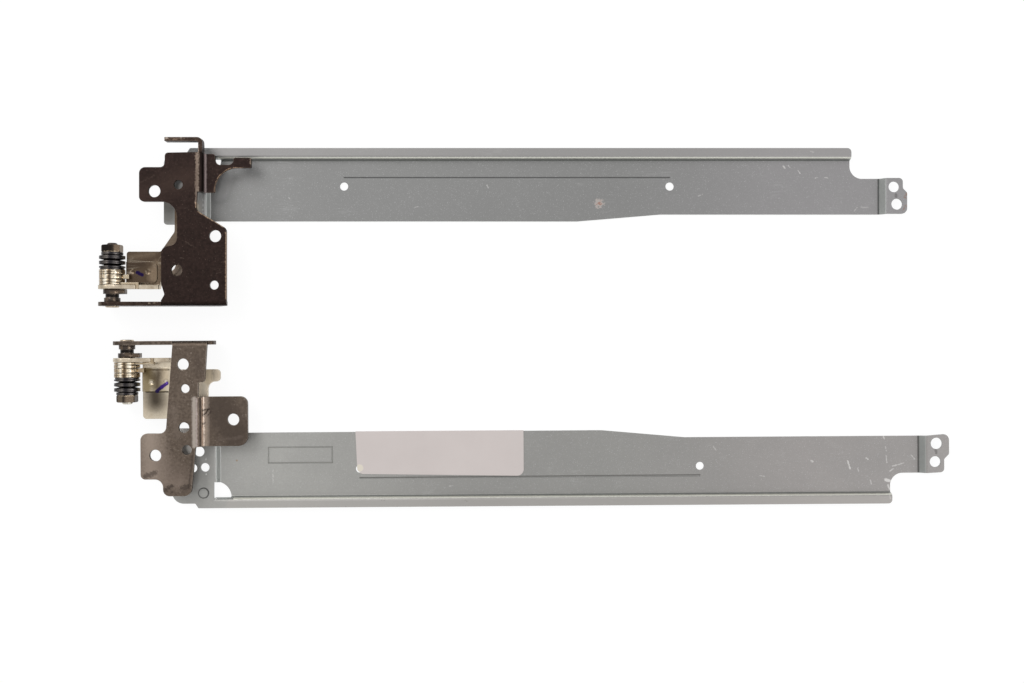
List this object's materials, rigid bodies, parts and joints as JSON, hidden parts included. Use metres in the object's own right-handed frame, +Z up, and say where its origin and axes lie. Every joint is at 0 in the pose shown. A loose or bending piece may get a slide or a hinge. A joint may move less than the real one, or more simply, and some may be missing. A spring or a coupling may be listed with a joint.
{
  "type": "laptop hinge pair",
  "caption": "Left and right friction hinges of a notebook, each with a bent base bracket, a disc-spring friction stack and a long joggled screen rail.",
  "frame": {"origin": "on the table under the middle of the pair's bounding box, the two hinges lying closed on their rails", "axes": "+X along the rails from the shafts to the end tabs, +Y from the lower hinge to the upper one, +Z up from the table, towards the base plates"},
  "size_m": [0.2554, 0.1108, 0.0088],
  "materials": {
    "rail_zinc": "zinc-plated sheet, satin, fine light speckle",
    "lid_nickel": "nickel-plated, lightly tarnished, satin",
    "upper_base_plating": "dark nickel plating, mottled and worn to a light edge",
    "lower_base_plating": "dark nickel plating, worn and scuffed lighter",
    "shaft_dark": "blackened and oiled",
    "disc_steel": "ground steel with brown oil film",
    "spring_dark": "blackened spring steel, oiled",
    "nut_dark": "blackened, worn brown on its corners",
    "rivet_steel": "zinc-plated",
    "label_paper": "matt white paper, blank"
  },
  "bodies": {
    "screen_side": {"upper_screen_rail": "rail_zinc", "upper_lid_bracket": "lid_nickel", "upper_rail_rivets": "rivet_steel", "upper_key_plate": "disc_steel", "upper_fixed_cam": "disc_steel", "lower_screen_rail": "rail_zinc", "lower_lid_bracket": "lid_nickel", "lower_rail_rivets": "rivet_steel", "lower_key_plate": "disc_steel", "lower_fixed_cam": "disc_steel", "lower_paper_label": "label_paper"},
    "upper_base": {"upper_base_bracket": "upper_base_plating", "upper_shaft": "shaft_dark", "upper_friction_disc": "disc_steel", "upper_turning_cam": "disc_steel", "upper_thrust_disc": "spring_dark", "upper_disc_springs": "spring_dark", "upper_washer": "spring_dark", "upper_lock_nut": "nut_dark"},
    "lower_base": {"lower_base_bracket": "lower_base_plating", "lower_shaft": "shaft_dark", "lower_friction_disc": "disc_steel", "lower_turning_cam": "disc_steel", "lower_thrust_disc": "spring_dark", "lower_disc_springs": "spring_dark", "lower_washer": "spring_dark", "lower_lock_nut": "nut_dark"}
  },
  "joints": [
    {"name": "upper_hinge", "type": "hinge", "parent": "screen_side", "child": "upper_base", "pos_m": [-0.12367, 0.00548, 0.0048], "axis": [0, -1, 0], "range_deg": [0, 135]},
    {"name": "lower_hinge", "type": "hinge", "parent": "screen_side", "child": "lower_base", "pos_m": [-0.11927, -0.00502, 0.0048], "axis": [0.007, -1, 0], "range_deg": [0, 135]}
  ]
}
